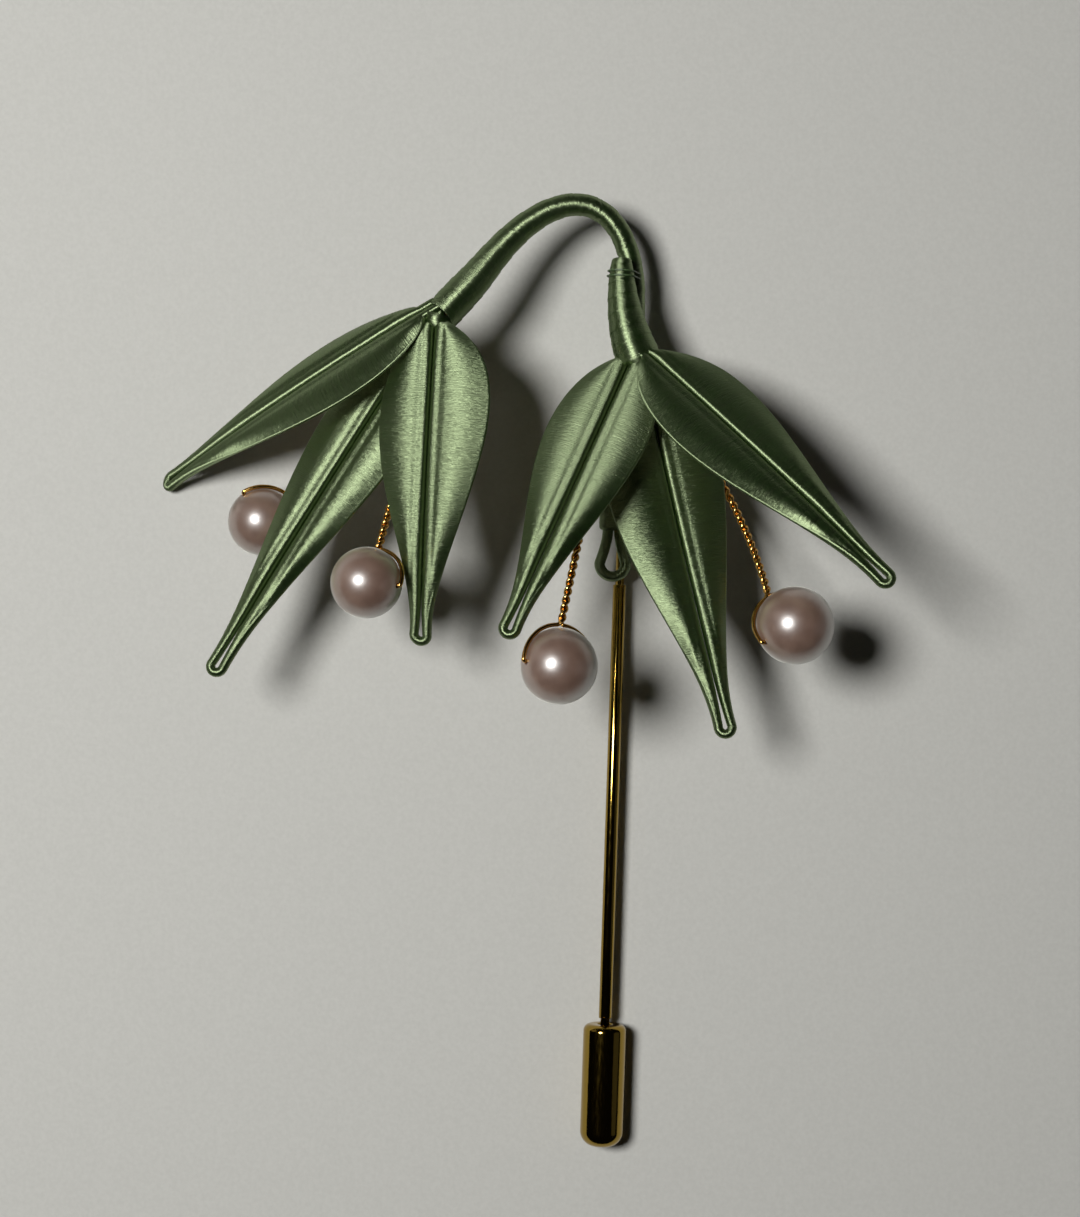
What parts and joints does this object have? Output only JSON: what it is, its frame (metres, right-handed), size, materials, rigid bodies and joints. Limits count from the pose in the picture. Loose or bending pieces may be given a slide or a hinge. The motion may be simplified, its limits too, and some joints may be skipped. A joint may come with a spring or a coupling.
{
  "type": "silk flower stick pin",
  "caption": "Stick pin with two drooping silk-wrapped flowers of long folded leaves, pearls on twisted gold wire, a straight needle and a bullet clutch.",
  "frame": {"origin": "on the needle's axis, where the needle comes out of the silk-wrapped head", "axes": "-Y runs along the needle to its point, +Y is up towards the flowers, +Z is the display side that faces the viewer, +X is the viewer's right"},
  "size_m": [0.0707, 0.094, 0.0236],
  "materials": {
    "leaf_silk": "crosswise wound silk floss, dark bottle green, satin",
    "leaf_tip_silk": "silk floss wound round the bent wire, dark bottle green, satin",
    "leaf_card": "plain card, hidden under the silk",
    "leaf_wire": "plain brass wire, hidden under the silk",
    "stem_silk": "tightly wound silk floss, dark bottle green, satin",
    "stem_wire": "plain brass wire bundle, hidden under the silk",
    "tie_thread": "silk thread, pale green",
    "loop_silk": "silk floss wound on wire, dark bottle green",
    "loop_wire": "plain brass wire, hidden under the silk",
    "binding_silk": "tightly wound silk floss, dark bottle green",
    "pearl": "shell-core pearl, off-white with a pink cast, glossy",
    "pearl_wire": "gold-plated brass wire, bright, twisted",
    "needle": "gold-plated, polished",
    "clutch_shell": "gold-plated, polished, deep drawn",
    "clutch_grip": "matt black rubber grip"
  },
  "bodies": {
    "head": {"left_outer_silk_a": "leaf_silk", "left_outer_silk_b": "leaf_silk", "left_outer_silk_tip": "leaf_tip_silk", "left_outer_card_a": "leaf_card", "left_outer_card_b": "leaf_card", "left_outer_wire": "leaf_wire", "left_middle_silk_a": "leaf_silk", "left_middle_silk_b": "leaf_silk", "left_middle_silk_tip": "leaf_tip_silk", "left_middle_card_a": "leaf_card", "left_middle_card_b": "leaf_card", "left_middle_wire": "leaf_wire", "left_inner_silk_a": "leaf_silk", "left_inner_silk_b": "leaf_silk", "left_inner_silk_tip": "leaf_tip_silk", "left_inner_card_a": "leaf_card", "left_inner_card_b": "leaf_card", "left_inner_wire": "leaf_wire", "right_inner_silk_a": "leaf_silk", "right_inner_silk_b": "leaf_silk", "right_inner_silk_tip": "leaf_tip_silk", "right_inner_card_a": "leaf_card", "right_inner_card_b": "leaf_card", "right_inner_wire": "leaf_wire", "right_middle_silk_a": "leaf_silk", "right_middle_silk_b": "leaf_silk", "right_middle_silk_tip": "leaf_tip_silk", "right_middle_card_a": "leaf_card", "right_middle_card_b": "leaf_card", "right_middle_wire": "leaf_wire", "right_outer_silk_a": "leaf_silk", "right_outer_silk_b": "leaf_silk", "right_outer_silk_tip": "leaf_tip_silk", "right_outer_card_a": "leaf_card", "right_outer_card_b": "leaf_card", "right_outer_wire": "leaf_wire", "main_stem_silk": "stem_silk", "main_stem_wires": "stem_wire", "short_stem_silk": "stem_silk", "short_stem_wires": "stem_wire", "stem_tie": "tie_thread", "tail_loop_silk": "loop_silk", "tail_loop_wire": "loop_wire", "needle_binding": "binding_silk", "pearl_1_wire": "pearl_wire", "pearl_2_wire": "pearl_wire", "pearl_3_wire": "pearl_wire", "pearl_4_wire": "pearl_wire", "needle": "needle"},
    "clutch": {"clutch_shell": "clutch_shell", "clutch_grip": "clutch_grip"},
    "pearl_1": {"pearl_1": "pearl"},
    "pearl_2": {"pearl_2": "pearl"},
    "pearl_3": {"pearl_3": "pearl"},
    "pearl_4": {"pearl_4": "pearl"}
  },
  "joints": [
    {"name": "clutch_slide", "type": "slide", "parent": "head", "child": "clutch", "axis": [0, -1, 0], "range_m": [0, 0.03]},
    {"name": "pearl_1_spin", "type": "hinge", "parent": "head", "child": "pearl_1", "pos_m": [-0.0357, 0.0051, 0.0017], "axis": [-0.524, 0.7483, 0.4067], "continuous": true},
    {"name": "pearl_2_spin", "type": "hinge", "parent": "head", "child": "pearl_2", "pos_m": [-0.0244, -0.0007, 0.013], "axis": [0.8966, -0.0627, 0.4384], "continuous": true},
    {"name": "pearl_3_spin", "type": "hinge", "parent": "head", "child": "pearl_3", "pos_m": [-0.0059, -0.0079, 0.017], "axis": [-0.8613, 0.0905, 0.5], "continuous": true},
    {"name": "pearl_4_spin", "type": "hinge", "parent": "head", "child": "pearl_4", "pos_m": [0.0163, -0.0034, 0.0135], "axis": [-0.7912, -0.4568, 0.4067], "continuous": true}
  ]
}
